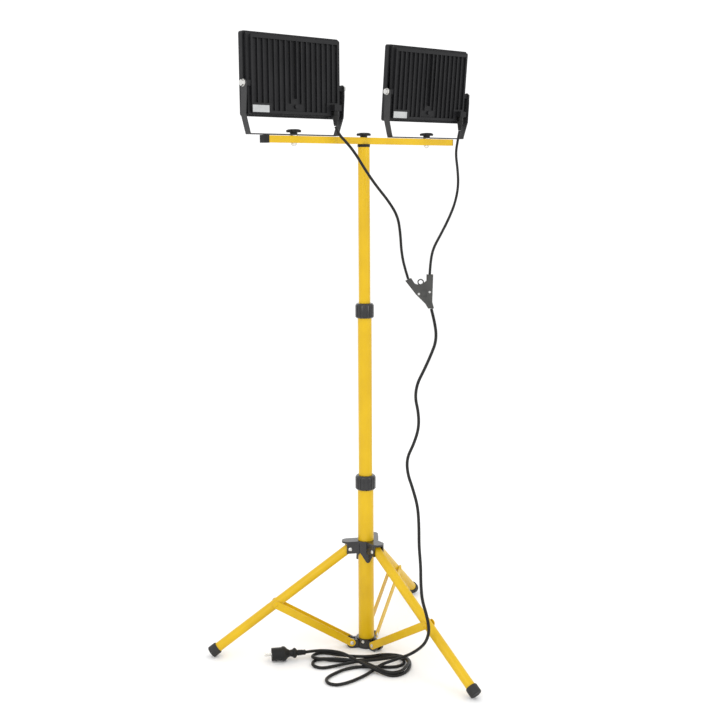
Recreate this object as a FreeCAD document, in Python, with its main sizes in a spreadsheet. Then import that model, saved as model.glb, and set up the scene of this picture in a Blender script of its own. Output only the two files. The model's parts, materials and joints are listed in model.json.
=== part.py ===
import FreeCAD, Part

# Twin LED work light on a telescopic tripod. Millimetres, +Z up, +Y the way the lamps shine.
# The origin is on the floor, under the mast's axis, on the underside of the lower hub.
import math
import os

import Sketcher
from FreeCAD import Placement, Rotation, Vector

doc = FreeCAD.newDocument("work_light")
sheet = doc.addObject("Spreadsheet::Sheet", "sizes")

# alias: (value, what it is)
SIZES = {
    "running_gap": (0.05, "radial clearance of a moving fit"),
    # mast
    "tube_wall": (1.5, "wall of the three mast tubes"),
    "lower_tube_radius": (21, "lower mast tube"),
    "middle_tube_radius": (18, "middle mast tube"),
    "upper_tube_radius": (15, "upper mast tube"),
    "lower_tube_bottom": (14, "height of the lower tube's foot, inside the lower hub"),
    "lower_tube_top": (470, "height of the lower tube's mouth"),
    "middle_tube_bottom": (402, "height of the middle tube's foot, mast extended"),
    "middle_tube_top": (927, "height of the middle tube's mouth"),
    "upper_tube_bottom": (867, "height of the upper tube's foot, mast extended"),
    "upper_tube_top": (1331, "height of the upper tube's top"),
    "collar_height": (38, "height of a clamp collar"),
    "collar_wall": (6, "collar beyond its tube"),
    "collar_overhang": (8, "collar above the mouth of its tube"),
    "collet_length": (34, "length of the sleeve inside a tube's mouth"),
    # tripod
    "rear_leg_azimuth": (266.9, "direction of the leg behind the lamps, from +X, degrees"),
    "upper_pivot_radius": (45, "leg pivot, from the mast's axis"),
    "upper_pivot_height": (279, "leg pivot above the floor"),
    "lower_pivot_radius": (42, "brace pivot, from the mast's axis"),
    "lower_pivot_height": (16, "brace pivot above the floor"),
    "leg_radius": (12.5, "leg tube"),
    "leg_wall": (1.2, "leg tube's wall"),
    "leg_reach": (457.5, "leg pivot to the foot's contact edge, along the leg"),
    "leg_top": (8, "leg tube beyond its pivot"),
    "brace_station": (244, "leg pivot to brace rivet, along the leg"),
    "foot_radius": (15.5, "rubber foot"),
    "foot_length": (24, "rubber foot"),
    "foot_bevel": (2, "bevel of the foot's end"),
    "brace_width": (20, "flat bar of a brace"),
    "brace_thickness": (2.5, "flat bar of a brace"),
    "brace_offset": (13.5, "inner face of a brace bar, from the leg's plane"),
    "rivet_radius": (3, "shank of every tripod rivet"),
    "rivet_head_radius": (5, "head of every tripod rivet"),
    "rivet_head_height": (2, "head of every tripod rivet"),
    "hub_radius": (26, "sleeve of the upper hub"),
    "hub_arm_reach": (65, "arm of the upper hub, from the mast's axis"),
    "hub_drop": (12, "upper hub's arms below the pivot"),
    "hub_rise": (16, "underside of the upper hub's plate above the pivot"),
    "hub_plate": (5, "upper hub's top plate"),
    "cheek_inner": (13, "inner face of an arm's cheek, from the arm's centre"),
    "cheek_thickness": (3.2, "cheek of an upper arm"),
    "tongue_length": (25, "tongue below the upper hub"),
    "tongue_turn": (-27, "tongue, from the leg beside it, degrees"),
    "base_hub_height": (26, "lower hub"),
    "base_hub_radius": (27, "lower hub's cup"),
    "base_arm_reach": (55, "lower hub's arm, from the mast's axis"),
    "base_arm_half": (13, "half the width of a lower arm"),
    "base_slot_half": (5, "half the slot in a lower arm"),
    # crossbar
    "bar_top": (1354.5, "top face of the crossbar"),
    "bar_width": (16.5, "square tube of the crossbar"),
    "bar_wall": (1.5, "square tube of the crossbar"),
    "bar_half_length": (321, "half the crossbar's tube"),
    "bar_cap_length": (15, "slip-on cap at the left end"),
    "bar_cap_wall": (0.8, "slip-on cap at the left end"),
    "lamp_offset": (227.5, "lamp's swivel bolt, from the mast's axis"),
    "bolt_radius": (4, "M8 bolts"),
    "nut_radius": (7.5, "M8 nut and bolt head, over its corners"),
    "nut_height": (5.5, "M8 nut"),
    "bolt_tail": (2.5, "lamp's bolt below its nut"),
    "washer_radius": (10, "spacer under a bracket"),
    "washer_height": (1.5, "spacer under a bracket"),
    "knob_radius": (18, "star knob"),
    "knob_height": (8, "star knob's head"),
    "knob_neck_radius": (9, "star knob's neck"),
    "knob_neck_height": (4, "star knob's neck"),
    # lamp, from the tilt pivot
    "tilt_height": (114.7, "tilt pivot above the crossbar"),
    "lamp_rise": (21.6, "lamp's middle above the tilt pivot"),
    "pivot_back": (5.5, "tilt pivot behind the bracket's middle"),
    "right_lamp_tilt": (5, "backward tilt of the right lamp at rest, degrees"),
    "bezel_half_width": (146.5, "front frame"),
    "bezel_half_height": (95.4, "front frame"),
    "bezel_back": (1.5, "front frame's back face"),
    "bezel_depth": (14, "front frame"),
    "bezel_lip": (16, "width of the front frame around the glass"),
    "shell_half_width": (141, "die-cast housing"),
    "shell_half_height": (91.5, "die-cast housing"),
    "shell_floor": (-8, "back face of the housing's tray"),
    "shell_wall": (5, "housing's rim"),
    "step_inset": (8, "plateau on the housing's back, in from the sides"),
    "step_drop": (3.5, "plateau on the housing's back, in from the top and bottom"),
    "step_depth": (6, "plateau on the housing's back"),
    "frame_side": (5, "frame beside the fins"),
    "frame_top": (8, "frame above the fins"),
    "frame_bottom": (6, "frame below the fins"),
    "fin_recess": (5, "recess in the plateau, in which the fins stand"),
    "fin_depth": (4.5, "cooling fin"),
    "fin_thickness": (3, "cooling fin"),
    "fin_pitch": (16.2, "cooling fins"),
    "fin_count": (15, "cooling fins"),
    "rib_extra": (3, "middle fin beyond the others"),
    "tray_floor": (5, "thickness of the housing's floor"),
    "lug_half_height": (6.5, "lug beside the housing, which a tilt bolt screws into"),
    "lug_back": (5.5, "the same lug, behind the tilt pivot"),
    "label_width": (48, "blank label"),
    "label_height": (16, "blank label"),
    "label_margin": (2, "blank label, in from the plateau's edges"),
    "glass_thickness": (4, "front glass"),
    "seal_thickness": (2.5, "seal behind the glass"),
    "board_thickness": (1.6, "LED board"),
    "bracket_thickness": (2.5, "bracket's strip"),
    "bracket_width": (20, "bracket's strip at the pivots"),
    "bracket_foot_width": (17, "bracket's strip at its foot"),
    "bracket_side": (148, "inner face of the bracket's arms"),
    "bracket_foot": (133.5, "half the bracket's foot, inside"),
    "bracket_knee": (45, "height of the bracket's slanted corner"),
    "bracket_top": (7.5, "end of the bracket's arms above the pivot"),
    "gland_side": (116, "cable gland, to the lamp's right"),
    "gland_back": (-20, "cable gland, behind the pivot"),
    "gland_top": (-55, "cable gland's top, from the pivot"),
    "gland_height": (36, "cable gland"),
    "gland_radius": (8, "cable gland"),
    "gland_bore": (3, "way of the lead's wires through the gland and its boss"),
    # cords
    "lead_radius": (3.5, "lamp lead"),
    "cable_radius": (4, "mains cable"),
    "hank_height": (17, "coiled cable on the floor"),
}


class Size:
    """A number, and the sheet expression that gives it."""

    def __init__(self, value, text):
        self.value = value
        self.text = text

    def __float__(self):
        return float(self.value)

    def __neg__(self):
        return Size(-self.value, f"(0 - {self.text})")

    def __add__(self, other):
        other = as_size(other)
        return Size(self.value + other.value, f"({self.text} + {other.text})")

    def __sub__(self, other):
        other = as_size(other)
        return Size(self.value - other.value, f"({self.text} - {other.text})")

    def __mul__(self, other):
        other = as_size(other)
        return Size(self.value * other.value, f"({self.text} * {other.text})")

    def __truediv__(self, other):
        other = as_size(other)
        return Size(self.value / other.value, f"({self.text} / {other.text})")

    def __radd__(self, other):
        return as_size(other) + self

    def __rsub__(self, other):
        return as_size(other) - self

    def __rmul__(self, other):
        return as_size(other) * self


def as_size(value):
    return value if isinstance(value, Size) else Size(value, repr(value))


size = {}
for row, (alias, (value, meaning)) in enumerate(SIZES.items(), 1):
    sheet.set(f"A{row}", meaning)
    sheet.set(f"B{row}", str(value))
    sheet.setAlias(f"B{row}", alias)
    size[alias] = Size(value, f"sizes.{alias}")
doc.recompute()

UP = Vector(0, 0, 1)
NODES = []


def bind(obj, **properties):
    """Sets an object's properties, and binds each to its sheet expression where it has one."""
    for name, value in properties.items():
        if isinstance(value, Size):
            obj.setExpression(name, value.text)
        else:
            setattr(obj, name, value)
    return obj


def stand(obj, x=0, y=0, z=0, axis=UP):
    """Puts an object at x, y, z with its own Z along axis."""
    obj.Placement = Placement(Vector(0, 0, 0), Rotation(UP, axis))
    for name, value in zip("xyz", (x, y, z)):
        if isinstance(value, Size):
            obj.setExpression(f"Placement.Base.{name}", value.text)
        else:
            place = obj.Placement
            setattr(place.Base, name, value)
            obj.Placement = place
    return obj


def cylinder(radius, height, x=0, y=0, z=0, axis=UP):
    obj = bind(doc.addObject("Part::Cylinder", "cylinder"), Radius=radius, Height=height)
    return stand(obj, x, y, z, axis)


def box(x0, x1, y0, y1, z0, z1):
    """A box between two corners."""
    obj = doc.addObject("Part::Box", "box")
    bind(obj, Length=as_size(x1) - x0, Width=as_size(y1) - y0, Height=as_size(z1) - z0)
    return stand(obj, as_size(x0), as_size(y0), as_size(z0))


def fuse(*pieces):
    return bind(doc.addObject("Part::MultiFuse", "fuse"), Shapes=list(pieces), Refine=True)


def cut(base, *tools):
    tool = tools[0] if len(tools) == 1 else fuse(*tools)
    return bind(doc.addObject("Part::Cut", "cut"), Base=base, Tool=tool, Refine=True)


def group(*pieces):
    """Separate solids that make one node."""
    return bind(doc.addObject("Part::Compound", "group"), Links=list(pieces))


def solid(shape, name="solid"):
    obj = doc.addObject("Part::Feature", name)
    obj.Shape = shape
    return obj


def node(label, obj, place=None):
    """Keeps obj as the sub-part of that name, at its place."""
    if place is not None:
        # a placement that is bound to the sheet stays as it is, inside a group that carries the new one
        if obj.ExpressionEngine:
            obj = group(obj)
        obj.Placement = place
    obj.Label = label
    NODES.append(obj)
    return obj


def origin_plane(body, role):
    return next(f for f in body.Origin.OriginFeatures if f.Role == role)


def profile(body, points, role="XZ_Plane"):
    """A closed outline in one of the body's own planes. Each corner is bound to the sheet."""
    sketch = body.newObject("Sketcher::SketchObject", "outline")
    sketch.AttachmentSupport = (origin_plane(body, role), "")
    sketch.MapMode = "FlatFace"
    corners = [(as_size(x), as_size(y)) for x, y in points]
    count = len(corners)
    at = [Vector(float(x), float(y), 0) for x, y in corners]
    for n in range(count):
        sketch.addGeometry(Part.LineSegment(at[n], at[(n + 1) % count]), False)
    for n in range(count):
        sketch.addConstraint(Sketcher.Constraint("Coincident", n, 2, (n + 1) % count, 1))
    for n, corner in enumerate(corners):
        for kind, across, coordinate in (("DistanceX", -2, corner[0]), ("DistanceY", -1, corner[1])):
            if float(coordinate) == 0:
                sketch.addConstraint(Sketcher.Constraint("PointOnObject", n, 1, across))
                continue
            number = sketch.addConstraint(
                Sketcher.Constraint(kind, -1, 1, n, 1, float(coordinate))
            )
            sketch.setExpression(f"Constraints[{number}]", coordinate.text)
    return sketch


def turned(points, z=0):
    """A body of revolution about Z. points are (radius, height) round one closed outline."""
    body = doc.addObject("PartDesign::Body", "turned")
    sketch = profile(body, points)
    turn = body.newObject("PartDesign::Revolution", "revolution")
    bind(turn, Profile=sketch, ReferenceAxis=(sketch, ["V_Axis"]), Angle=360.0)
    return stand(body, 0, 0, z)


def prism(points, start, height, axis="z"):
    """An outline of plain numbers, extruded. On axis y it lies in XZ, and on axis x in YZ."""
    lift = {
        "z": lambda a, b: Vector(a, b, start),
        "y": lambda a, b: Vector(a, start, b),
        "x": lambda a, b: Vector(start, a, b),
    }[axis]
    way = {"z": Vector(0, 0, height), "y": Vector(0, height, 0), "x": Vector(height, 0, 0)}[axis]
    corners = [lift(float(a), float(b)) for a, b in points]
    return Part.Face(Part.makePolygon(corners + corners[:1])).extrude(way)


def turn_about_z(degrees):
    return Placement(Vector(0, 0, 0), Rotation(UP, degrees))


# ---------------------------------------------------------------- tripod geometry

LEGS = {"rear": 0, "left": -120, "right": 120}
# the leg's angle from the vertical, with the foot's edge on the floor
leg_span = math.hypot(float(size["leg_reach"]), float(size["foot_radius"]))
leg_angle = math.acos(float(size["upper_pivot_height"]) / leg_span) + math.atan2(
    float(size["foot_radius"]), float(size["leg_reach"])
)
rivet_radius_out = float(size["upper_pivot_radius"]) + float(size["brace_station"]) * math.sin(leg_angle)
rivet_height = float(size["upper_pivot_height"]) - float(size["brace_station"]) * math.cos(leg_angle)
brace_across = rivet_radius_out - float(size["lower_pivot_radius"])
brace_up = rivet_height - float(size["lower_pivot_height"])
brace_length = math.hypot(brace_across, brace_up)
brace_angle = math.atan2(brace_across, brace_up)


def azimuth(side):
    return float(size["rear_leg_azimuth"]) + LEGS[side]


def leg_place(side):
    """From a leg that hangs down from the origin to its place on the tripod."""
    pivot = Vector(float(size["upper_pivot_radius"]), 0, float(size["upper_pivot_height"]))
    lean = Placement(pivot, Rotation(Vector(0, 1, 0), -math.degrees(leg_angle)))
    return turn_about_z(azimuth(side)) * lean


def brace_place(side):
    """From a brace that stands up from the origin to its place on the tripod."""
    pivot = Vector(float(size["lower_pivot_radius"]), 0, float(size["lower_pivot_height"]))
    lean = Placement(pivot, Rotation(Vector(0, 1, 0), math.degrees(brace_angle)))
    return turn_about_z(azimuth(side)) * lean


# ---------------------------------------------------------------- mast


def tube(label, radius, wall, bottom, top):
    length = top - bottom
    ring = [(radius - wall, 0), (radius, 0), (radius, length), (radius - wall, length)]
    node(label, turned(ring, bottom))


def collet(label, tube_radius, inner_radius, mouth):
    """Plastic sleeve in a tube's mouth, in which the next tube slides."""
    length = size["collet_length"]
    outer = tube_radius - size["tube_wall"]
    bore = inner_radius + size["running_gap"]
    flange = tube_radius - 0.5
    outline = [
        (bore, 0),
        (outer, 0),
        (outer, length),
        (flange, length),
        (flange, length + 2),
        (bore, length + 2),
    ]
    node(label, turned(outline, mouth - length))


def collar(label, tube_radius, inner_radius, mouth):
    """Twist collar with vertical grips, over the mouth of a tube."""
    wall = size["collar_wall"]
    height = size["collar_height"]
    big = tube_radius + size["running_gap"]
    small = inner_radius + 0.4
    shelf = height - size["collar_overhang"] + 3
    outer = tube_radius + wall
    outline = [
        (big, 0),
        (outer - 2, 0),
        (outer, 3),
        (outer, height - 6),
        (outer - 1.5, height - 2.5),
        (outer - 4.5, height),
        (small, height),
        (small, shelf),
        (big, shelf),
    ]
    body = turned(outline, mouth + size["collar_overhang"] - height)
    groove = profile(
        body,
        [(outer - 1, -1.3), (outer + 1, -1.3), (outer + 1, 1.3), (outer - 1, 1.3)],
        "XY_Plane",
    )
    pocket = body.newObject("PartDesign::Pocket", "grip")
    bind(pocket, Profile=groove, Length=height, Reversed=True)
    grips = body.newObject("PartDesign::PolarPattern", "grips")
    bind(grips, Originals=[pocket], Axis=(groove, ["N_Axis"]), Angle=360.0, Occurrences=18)
    body.Tip = grips
    node(label, body)


tube("lower_tube", size["lower_tube_radius"], size["tube_wall"],
     size["lower_tube_bottom"], size["lower_tube_top"])
tube("middle_tube", size["middle_tube_radius"], size["tube_wall"],
     size["middle_tube_bottom"], size["middle_tube_top"])
tube("upper_tube", size["upper_tube_radius"], size["tube_wall"],
     size["upper_tube_bottom"], size["upper_tube_top"])
for name, outer_tube, inner_tube in (("lower", "lower", "middle"), ("upper", "middle", "upper")):
    mouth = size[f"{outer_tube}_tube_top"]
    radii = size[f"{outer_tube}_tube_radius"], size[f"{inner_tube}_tube_radius"]
    collet(f"{name}_collet", *radii, mouth)
    collar(f"{name}_collar", *radii, mouth)


def mast_cap():
    """Black plug and rim on the upper tube, which carries the crossbar."""
    top = size["bar_top"] - size["bar_width"]
    rim = size["upper_tube_radius"] + 1
    plug = size["upper_tube_radius"] - size["tube_wall"]
    bore = size["bolt_radius"] + size["running_gap"]
    depth = 30
    rise = top - size["upper_tube_top"]
    outline = [
        (bore, 0),
        (plug, 0),
        (plug, depth),
        (rim, depth),
        (rim, depth + rise - 1),
        (rim - 1, depth + rise),
        (bore, depth + rise),
    ]
    node("mast_cap", turned(outline, size["upper_tube_top"] - depth))


mast_cap()

# ---------------------------------------------------------------- hubs


def upper_hub():
    """Sliding sleeve with three forked arms under one plate, and three tongues."""
    pivot = size["upper_pivot_height"]
    low = pivot - size["hub_drop"]
    plate_low = pivot + size["hub_rise"]
    plate_top = plate_low + size["hub_plate"]
    reach = size["hub_arm_reach"]
    inner = size["cheek_inner"]
    outer = inner + size["cheek_thickness"]
    pieces = [cylinder(size["hub_radius"], plate_top - low, z=low)]
    for side in LEGS:
        plate = fuse(
            box(0, reach - outer, -outer, outer, plate_low, plate_top),
            cylinder(outer, size["hub_plate"], reach - outer, 0, plate_low),
        )
        cheeks = [
            box(size["lower_tube_radius"], reach - 11, *pair, low, plate_low)
            for pair in ((inner, outer), (-outer, -inner))
        ]
        arm = cut(
            fuse(plate, *cheeks),
            cylinder(
                size["rivet_radius"], 4 * inner, size["upper_pivot_radius"],
                -2 * inner, pivot, Vector(0, 1, 0),
            ),
        )
        arm.Placement = turn_about_z(azimuth(side))
        pieces.append(arm)
    body = fuse(*pieces)
    bore = cylinder(
        size["lower_tube_radius"] + size["running_gap"], plate_top - low + 2, z=low - 1
    )
    knob_hole = cylinder(size["rivet_radius"], 30, z=pivot - 4, axis=Vector(1, 0, 0))
    knob_hole.Placement = turn_about_z(azimuth("rear") + 60) * knob_hole.Placement
    # tongues: a thin ring below the sleeve, kept only inside three tapered outlines
    length = float(size["tongue_length"])
    half = 19.0
    tip = 4.5
    outline = [(-half, 0), (-tip - 1, -length + 3), (-tip + 2, -length), (tip - 2, -length),
               (tip + 1, -length + 3), (half, 0)]
    skirt = Part.makeCylinder(float(size["hub_radius"]), length)
    skirt = skirt.cut(
        Part.makeCylinder(float(size["lower_tube_radius"] + size["running_gap"]), length)
    )
    skirt.translate(Vector(0, 0, float(low) - length))
    wedge = prism([(a, b + float(low)) for a, b in outline], 0, 40, "x")
    tongues = []
    for side in LEGS:
        turned_wedge = wedge.copy()
        turned_wedge.Placement = turn_about_z(azimuth(side) + float(size["tongue_turn"]))
        tongues.append(solid(skirt.common(turned_wedge), "tongue"))
    node("upper_hub", fuse(cut(body, bore, knob_hole), *tongues))


def lower_hub():
    """Cup at the foot of the mast, with three slotted arms for the braces."""
    height = size["base_hub_height"]
    half = size["base_arm_half"]
    reach = size["base_arm_reach"]
    pivot_out = size["lower_pivot_radius"]
    pivot_up = size["lower_pivot_height"]
    nose = reach - pivot_out
    pieces = [cylinder(size["base_hub_radius"], height)]
    for side in LEGS:
        arm = fuse(
            box(0, pivot_out, -half, half, 0, pivot_up + 7),
            cylinder(nose, 2 * half, pivot_out, -half, nose, Vector(0, 1, 0)),
        )
        slot = box(pivot_out - 12, reach + 1, -size["base_slot_half"], size["base_slot_half"], 4, 40)
        hole = cylinder(size["rivet_radius"], 4 * half, pivot_out, -2 * half, pivot_up, Vector(0, 1, 0))
        arm = cut(arm, slot, hole)
        arm.Placement = turn_about_z(azimuth(side))
        pieces.append(arm)
    seat = cylinder(size["lower_tube_radius"], height, z=size["lower_tube_bottom"])
    node("lower_hub", cut(fuse(*pieces), seat, *hub_screw_pieces(bore=True)))


def hub_screw_pieces(bore=False):
    """The radial screw that holds the lower hub to the mast, and its hole."""
    radius = 2.5
    start = float(size["lower_tube_radius"])
    height = 20
    outward = Vector(1, 0, 0)
    head_length = 10 if bore else 2.2
    shank = Part.makeCylinder(radius, 4.5, Vector(start, 0, height), outward)
    seat = Vector(float(size["base_hub_radius"]) - 1.5, 0, height)
    head = Part.makeCylinder(4.2, head_length, seat, outward)
    shape = shank.fuse(head).removeSplitter()
    shape.Placement = turn_about_z(azimuth("rear") - 60)
    return [solid(shape, "hub_screw")]


upper_hub()
lower_hub()
node("lower_hub_screw", hub_screw_pieces()[0])


def rivet(half_span):
    """A through rivet along Y: shank between two domed heads at half_span either side."""
    radius = float(size["rivet_radius"])
    head = float(size["rivet_head_radius"])
    tall = float(size["rivet_head_height"])
    half = float(half_span)
    outline = [(0, -half - tall), (head * 0.6, -half - tall), (head, -half - tall * 0.4), (head, -half),
               (radius, -half), (radius, half), (head, half), (head, half + tall * 0.4),
               (head * 0.6, half + tall), (0, half + tall)]
    face = Part.Face(Part.makePolygon([Vector(a, b, 0) for a, b in outline + outline[:1]]))
    return face.revolve(Vector(0, 0, 0), Vector(0, 1, 0), 360)


def rivets(label, half_span, out, up):
    pieces = []
    for side in LEGS:
        piece = solid(rivet(half_span), "rivet")
        piece.Placement = turn_about_z(azimuth(side)) * Placement(
            Vector(float(out), 0, float(up)), Rotation()
        )
        pieces.append(piece)
    node(label, group(*pieces))


rivets("upper_hub_rivets", size["cheek_inner"] + size["cheek_thickness"],
       size["upper_pivot_radius"], size["upper_pivot_height"])
rivets("lower_hub_rivets", size["brace_offset"] + size["brace_thickness"] + 0.3,
       size["lower_pivot_radius"], size["lower_pivot_height"])

# ---------------------------------------------------------------- legs and braces


def leg(side):
    radius = size["leg_radius"]
    length = size["leg_reach"] + size["foot_bevel"] - 4
    across = Vector(0, 1, 0)
    pivot_hole = size["rivet_radius"] + size["running_gap"]
    shell = cut(
        cylinder(radius, length + size["leg_top"], z=-length),
        cylinder(radius - size["leg_wall"], length + size["leg_top"] + 2, z=-length - 1),
        cylinder(pivot_hole, 4 * radius, 0, -2 * radius, 0, across),
    )
    node(f"{side}_leg", shell, leg_place(side))


def foot(side):
    """Rubber cap on the end of a leg."""
    radius = size["foot_radius"]
    bevel = size["foot_bevel"]
    height = size["foot_length"]
    inner = size["leg_radius"]
    outline = [
        (0, 0),
        (radius - bevel, 0),
        (radius, bevel),
        (radius, height - 3),
        (radius - 1.2, height),
        (inner, height),
        (inner, 4),
        (0, 4),
    ]
    body = turned(outline)
    end = Placement(Vector(0, 0, -float(size["leg_reach"] + bevel)), Rotation())
    node(f"{side}_foot", body, leg_place(side) * end)


def brace(side):
    """Two flat bars, one each side of the leg, with a riveted stud at the leg's end of each."""
    half = float(size["brace_width"]) / 2
    thick = float(size["brace_thickness"])
    offset = float(size["brace_offset"])
    hole = float(size["rivet_radius"])
    end = Vector(0, 0, brace_length)
    pieces = []
    for way in (1, -1):
        start = offset if way > 0 else -offset - thick
        across = Vector(0, 1, 0)
        outline = [(-half, 0), (half, 0), (half, brace_length), (-half, brace_length)]
        bar = prism(outline, start, thick, "y")
        lower_round = Part.makeCylinder(half, thick, Vector(0, start, 0), across)
        upper_round = Part.makeCylinder(half, thick, Vector(0, start, brace_length), across)
        bar = bar.fuse([lower_round, upper_round])
        gap = float(size["running_gap"])
        bar = bar.cut(Part.makeCylinder(hole + gap, thick, Vector(0, start, 0), across))
        bar = bar.cut(Part.makeCylinder(hole, thick, Vector(0, start, brace_length), across))
        outside = start + thick if way > 0 else start
        stud = Part.makeCylinder(hole, thick, Vector(0, start, brace_length), across)
        head = Part.makeCone(
            float(size["rivet_head_radius"]), float(size["rivet_head_radius"]) * 0.6,
            float(size["rivet_head_height"]), Vector(0, outside, brace_length), across * way,
        )
        pieces.append(solid(bar.removeSplitter(), "bar"))
        pieces.append(solid(stud.fuse(head).removeSplitter(), "stud"))
    node(f"{side}_brace", group(*pieces), brace_place(side))


for side in LEGS:
    leg(side)
    foot(side)
    brace(side)

# ---------------------------------------------------------------- knobs and crossbar


def star_knob(radius, head_height, neck_radius, neck_height, bore, lobes=7):
    """A knob along +Z from its neck's end: neck, then a scalloped, domed head with a blind bore."""
    outline = [(0, 0), (neck_radius, 0), (neck_radius, neck_height), (radius - 1, neck_height),
               (radius, neck_height + 2), (radius, neck_height + head_height * 0.6),
               (radius * 0.75, neck_height + head_height * 0.9), (0, neck_height + head_height)]
    face = Part.Face(Part.makePolygon([Vector(a, 0, b) for a, b in outline + outline[:1]]))
    shape = face.revolve(Vector(0, 0, 0), UP, 360)
    scallop = radius * 0.26
    for n in range(lobes):
        angle = 2 * math.pi * n / lobes
        centre = Vector(radius * 1.08 * math.cos(angle), radius * 1.08 * math.sin(angle), neck_height)
        shape = shape.cut(Part.makeCylinder(scallop, head_height + 1, centre))
    if bore:
        shape = shape.cut(Part.makeCylinder(bore, neck_height + head_height * 0.5))
    return shape.removeSplitter()


def bar_knob(label, x, z):
    shape = star_knob(
        float(size["knob_radius"]), float(size["knob_height"]), float(size["knob_neck_radius"]),
        float(size["knob_neck_height"]), float(size["bolt_radius"]) + float(size["running_gap"]),
    )
    node(label, solid(shape, "knob"), Placement(Vector(float(x), 0, float(z)), Rotation()))


def hub_knob():
    """Lock screw of the sliding hub: a star knob on a short stud against the mast."""
    height = float(size["upper_pivot_height"]) - 4
    stud = Part.makeCylinder(float(size["rivet_radius"]) - 0.05, 9, Vector(0, 0, -8))
    shape = star_knob(17, 7, 7, 3, 0).fuse(stud).removeSplitter()
    out = Placement(Vector(29.5, 0, height), Rotation(UP, Vector(1, 0, 0)))
    node("hub_knob", solid(shape, "knob"), turn_about_z(azimuth("rear") + 60) * out)


hub_knob()
bracket_base = size["bar_top"] + size["washer_height"]
knob_seat = bracket_base + size["bracket_thickness"]
bar_knob("centre_knob", 0, size["bar_top"] + 0.3)
bar_knob("left_knob", -size["lamp_offset"], knob_seat + 0.3)
bar_knob("right_knob", size["lamp_offset"], knob_seat + 0.3)

BOLT_PLACES = {"left": -size["lamp_offset"], "right": size["lamp_offset"]}


def crossbar():
    half = size["bar_half_length"]
    wide = size["bar_width"] / 2
    wall = size["bar_wall"]
    top = size["bar_top"]
    low = top - size["bar_width"]
    holes = [
        cylinder(size["bolt_radius"], size["bar_width"] + 2, x, 0, low - 1)
        for x in (0, *BOLT_PLACES.values())
    ]
    shell = cut(
        box(-half, half, -wide, wide, low, top),
        box(-half - 1, half + 1, wall - wide, wide - wall, low + wall, top - wall),
        *holes,
    )
    node("crossbar", shell)


def bar_cap():
    """Slip-on cap over the left end."""
    half = size["bar_half_length"]
    wide = size["bar_width"] / 2
    wall = size["bar_cap_wall"]
    end = -half - 2
    low = size["bar_top"] - size["bar_width"]
    top = size["bar_top"]
    mouth = end + size["bar_cap_length"]
    outer = box(end, mouth, -wide - wall, wide + wall, low - wall, top + wall)
    inner = box(-half, mouth + 1, -wide, wide, low, top)
    node("bar_cap_left", cut(outer, inner))


def bar_plug():
    """Plug pushed into the right end, flush with the tube."""
    half = size["bar_half_length"]
    wide = size["bar_width"] / 2
    wall = size["bar_wall"]
    low = size["bar_top"] - size["bar_width"]
    face = box(half, half + 2, -wide, wide, low, size["bar_top"])
    stem = box(half - 14, half, wall - wide, wide - wall, low + wall, size["bar_top"] - wall)
    node("bar_plug_right", fuse(face, stem))


def bar_bolts():
    """Three bolts: one into the mast, and one up through each lamp's bracket."""
    tip = float(size["knob_neck_height"])
    low = size["bar_top"] - size["bar_width"]
    pieces = [cylinder(size["bolt_radius"], size["bar_width"] + 26 + tip, 0, 0, low - 26)]
    for x in BOLT_PLACES.values():
        base = low - size["nut_height"] - size["bolt_tail"]
        length = knob_seat + tip - base
        pieces.append(cylinder(size["bolt_radius"], length, x, 0, base))
    node("bar_bolts", group(*pieces))


def hexagon(radius, height, x, y, z, bore=0, axis=UP):
    """A six-sided nut or bolt head."""
    obj = doc.addObject("Part::Prism", "hexagon")
    bind(obj, Polygon=6, Circumradius=radius, Height=height)
    stand(obj, x, y, z, axis)
    if not bore:
        return obj
    return cut(obj, cylinder(bore, height, x, y, z, axis))


def bar_nuts():
    """A nut under the bar and a spacer under the bracket, on each lamp's bolt."""
    low = size["bar_top"] - size["bar_width"]
    pieces = []
    for x in BOLT_PLACES.values():
        nut_base = low - size["nut_height"]
        tall = size["nut_height"]
        pieces.append(hexagon(size["nut_radius"], tall, x, 0, nut_base, size["bolt_radius"]))
        spacer = cylinder(size["washer_radius"], size["washer_height"], x, 0, size["bar_top"])
        hole = cylinder(size["bolt_radius"], size["washer_height"], x, 0, size["bar_top"])
        pieces.append(cut(spacer, hole))
    node("bar_nuts", group(*pieces))


crossbar()
bar_cap()
bar_plug()
bar_bolts()
bar_nuts()

# ---------------------------------------------------------------- lamps, built round the tilt pivot

lamp_middle = size["lamp_rise"]
pivot_up = bracket_base + size["tilt_height"]


def slab(half_width, half_height, y0, y1):
    """A block centred on the lamp, between two depths."""
    return box(-half_width, half_width, y0, y1, lamp_middle - half_height, lamp_middle + half_height)


def rounded_slab(half_width, half_height, y0, y1, radius):
    """The same block with its four corners rounded."""
    x = float(half_width)
    up = float(half_height)
    start = float(y0)
    block = prism([(-x, -up), (x, -up), (x, up), (-x, up)], start, float(y1) - start, "y")
    along = [e for e in block.Edges if abs(e.tangentAt(e.FirstParameter).y) > 0.9]
    block = block.makeFillet(radius, along)
    block.translate(Vector(0, 0, float(lamp_middle)))
    return solid(block, "slab")


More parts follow.
